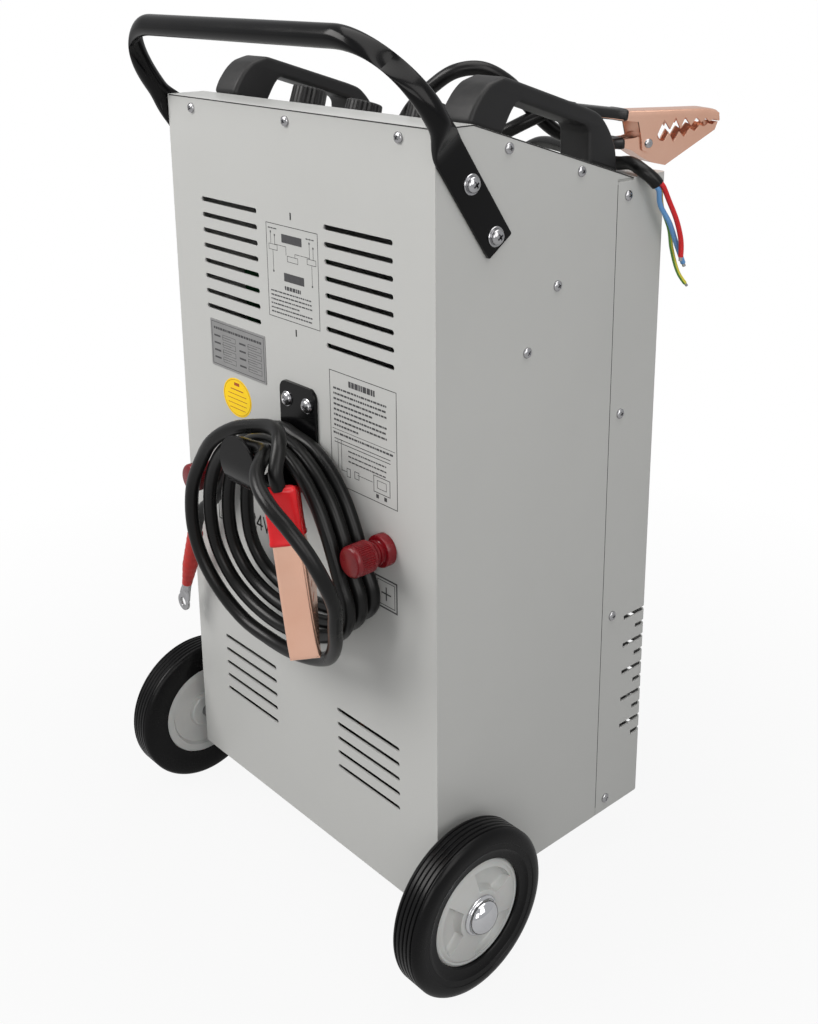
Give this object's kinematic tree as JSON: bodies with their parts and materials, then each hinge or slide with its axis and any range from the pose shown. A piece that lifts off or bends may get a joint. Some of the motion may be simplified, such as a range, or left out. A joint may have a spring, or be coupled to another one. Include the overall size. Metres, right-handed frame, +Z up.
{
  "type": "car battery charger",
  "caption": "Wheeled sheet-steel battery charger with a sloping control panel, push handle, carry handles, cable hook, clamped charging leads and a mains cord.",
  "frame": {"origin": "middle of the bounding box of the charger without its cords, on the floor", "axes": "+Z up, -Y towards the front panel, +X to the left seen from behind"},
  "size_m": [0.4495, 0.5186, 0.708],
  "materials": {
    "cabinet_paint": "light grey powder coat",
    "black_paint": "gloss black paint",
    "black_plastic": "matte black moulded",
    "zinc": "zinc plated",
    "steel": "plain steel",
    "chrome": "bright chrome",
    "hub_plastic": "light grey moulded",
    "tyre": "black rubber",
    "foot_rubber": "black rubber",
    "post_red": "dark red",
    "brass": "brass",
    "rocker_red": "red",
    "needle_red": "red",
    "window": "clear",
    "plate": "silver foil",
    "winding": "enamelled copper wire",
    "sink": "extruded",
    "diode": "plated",
    "board": "green laminate",
    "red_vinyl": "red soft vinyl",
    "black_vinyl": "black soft vinyl",
    "copper": "copper plated steel",
    "sheath": "black rubber sheath",
    "cores": "coloured insulation"
  },
  "bodies": {
    "chassis": {"rear_cover": "cabinet_paint", "front_cover": "cabinet_paint", "top_panel": "cabinet_paint", "base_plate": "cabinet_paint", "push_handle": "black_paint", "handle_bolts": "zinc", "carry_handle_left": "black_plastic", "carry_handle_right": "black_plastic", "cable_hook": "black_paint", "hook_screws": "zinc", "cover_screws": "zinc", "axle": "steel", "axle_brackets": "steel", "axle_caps": "chrome", "front_feet": "foot_rubber", "terminal_bases": "post_red", "terminal_studs": "brass", "rotary_switches": "steel", "switch_housing": "black_plastic", "meter_case": "black_plastic", "meter_window": "window", "rating_plate": "plate", "transformer_core": "steel", "transformer_windings": "winding", "rectifier_heatsink": "sink", "rectifier_diodes": "diode", "circuit_board": "board", "fan_frame": "black_plastic", "positive_lug": "zinc", "positive_lug_boot": "red_vinyl", "positive_lead_coil": "sheath", "positive_lead_ends": "sheath", "positive_jaw_fixed": "copper", "positive_grip_fixed": "red_vinyl", "negative_jaw_fixed": "copper", "negative_grip_fixed": "black_vinyl", "clamp_rivets": "zinc", "clamp_springs": "zinc", "cord_glands": "black_plastic", "negative_lead_coil": "sheath", "negative_lead_runs": "sheath", "mains_cord_coil": "sheath", "mains_cord_runs": "sheath", "mains_cores": "cores"},
    "wheel_left": {"wheel_hub_left": "hub_plastic", "tyre_left": "tyre"},
    "wheel_right": {"wheel_hub_right": "hub_plastic", "tyre_right": "tyre"},
    "voltage_control": {"voltage_knob": "black_plastic"},
    "current_control": {"current_knob": "black_plastic"},
    "timer_control": {"timer_knob": "black_plastic"},
    "power_rocker": {"switch_rocker": "rocker_red"},
    "needle": {"meter_needle": "needle_red"},
    "cap_left": {"terminal_cap_left": "post_red"},
    "cap_right": {"terminal_cap_right": "post_red"},
    "fan": {"fan_rotor": "black_plastic"},
    "positive_lever": {"positive_jaw_moving": "copper", "positive_grip_moving": "red_vinyl"},
    "negative_lever": {"negative_jaw_moving": "copper", "negative_grip_moving": "black_vinyl"}
  },
  "joints": [
    {"name": "wheel_spin_left", "type": "hinge", "parent": "chassis", "child": "wheel_left", "pos_m": [0.184, 0.098, 0.066], "axis": [1, 0, 0], "continuous": true},
    {"name": "wheel_spin_right", "type": "hinge", "parent": "chassis", "child": "wheel_right", "pos_m": [-0.184, 0.098, 0.066], "axis": [1, 0, 0], "continuous": true},
    {"name": "voltage_turn", "type": "hinge", "parent": "chassis", "child": "voltage_control", "pos_m": [0.07, 0.03341, 0.63876], "axis": [0, -0.304, 0.9527], "range_deg": [-270, 0]},
    {"name": "current_turn", "type": "hinge", "parent": "chassis", "child": "current_control", "pos_m": [0, 0.03341, 0.63876], "axis": [0, -0.304, 0.9527], "range_deg": [-270, 0]},
    {"name": "timer_turn", "type": "hinge", "parent": "chassis", "child": "timer_control", "pos_m": [-0.07, 0.03341, 0.63876], "axis": [0, -0.304, 0.9527], "range_deg": [-300, 0]},
    {"name": "power_switch", "type": "hinge", "parent": "chassis", "child": "power_rocker", "pos_m": [0.078, -0.06007, 0.59948], "axis": [0, 0.9527, 0.304], "range_deg": [-20, 0]},
    {"name": "needle_swing", "type": "hinge", "parent": "chassis", "child": "needle", "pos_m": [0.078, -0.0308, 0.61302], "axis": [0, -0.304, 0.9527], "range_deg": [-80, 0], "stiffness_Nm_per_rad": 0.0005},
    {"name": "terminal_cap_turn_left", "type": "hinge", "parent": "chassis", "child": "cap_left", "pos_m": [0.1055, 0.132, 0.334], "axis": [0, 1, 0], "range_deg": [0, 720]},
    {"name": "terminal_cap_turn_right", "type": "hinge", "parent": "chassis", "child": "cap_right", "pos_m": [-0.1055, 0.132, 0.334], "axis": [0, 1, 0], "range_deg": [0, 720]},
    {"name": "fan_spin", "type": "hinge", "parent": "chassis", "child": "fan", "pos_m": [-0.0795, 0.095, 0.1445], "axis": [0, 1, 0], "continuous": true},
    {"name": "positive_clamp_open", "type": "hinge", "parent": "chassis", "child": "positive_lever", "pos_m": [-0.0523, 0.149, 0.318], "axis": [-0.6864, -0.7157, 0.1288], "range_deg": [0, 8], "stiffness_Nm_per_rad": 0.8, "springref_deg": -28.65},
    {"name": "negative_clamp_open", "type": "hinge", "parent": "chassis", "child": "negative_lever", "pos_m": [-0.1261, -0.1414, 0.6085], "axis": [0.9613, -0.2756, 0], "range_deg": [0, 14], "stiffness_Nm_per_rad": 0.8, "springref_deg": -28.65}
  ]
}
